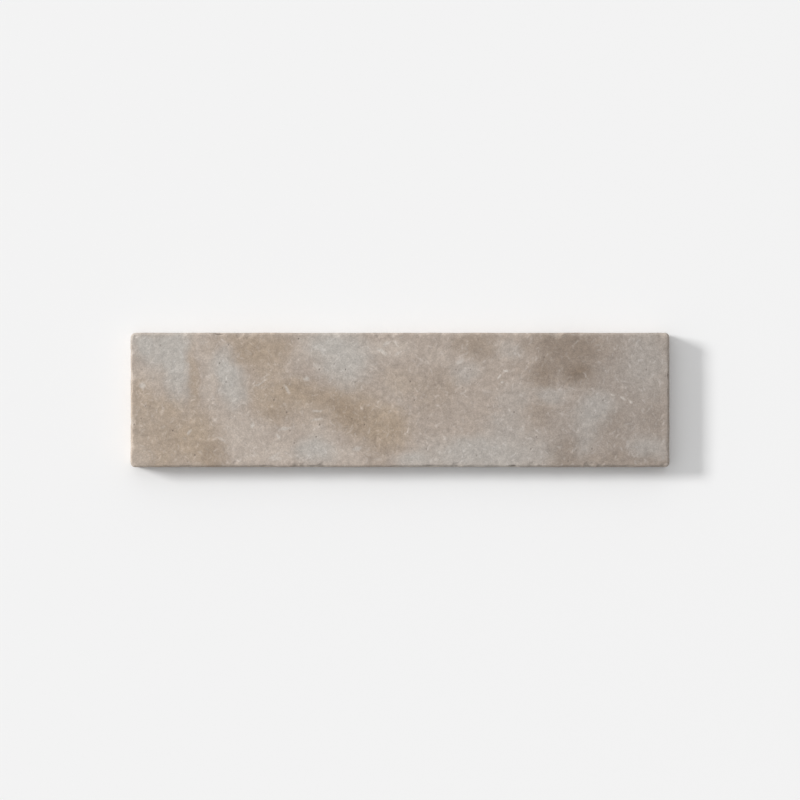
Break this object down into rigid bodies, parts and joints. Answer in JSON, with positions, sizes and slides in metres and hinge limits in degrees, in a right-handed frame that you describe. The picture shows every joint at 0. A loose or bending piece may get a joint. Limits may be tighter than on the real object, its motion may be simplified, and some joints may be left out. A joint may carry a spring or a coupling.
{
  "type": "limestone tile",
  "caption": "Rectangular brick-format limestone tile with tumbled, lightly chipped edges and a clouded grey-beige face, bonded to a floor or wall.",
  "frame": {"origin": "middle of the back face, where the tile meets its adhesive bed", "axes": "+X along the tile's length, +Y across its width, +Z out of the show face"},
  "size_m": [0.3, 0.075, 0.01],
  "materials": {
    "limestone": "matte"
  },
  "bodies": {
    "root": {"limestone_tile": "limestone"}
  },
  "joints": []
}
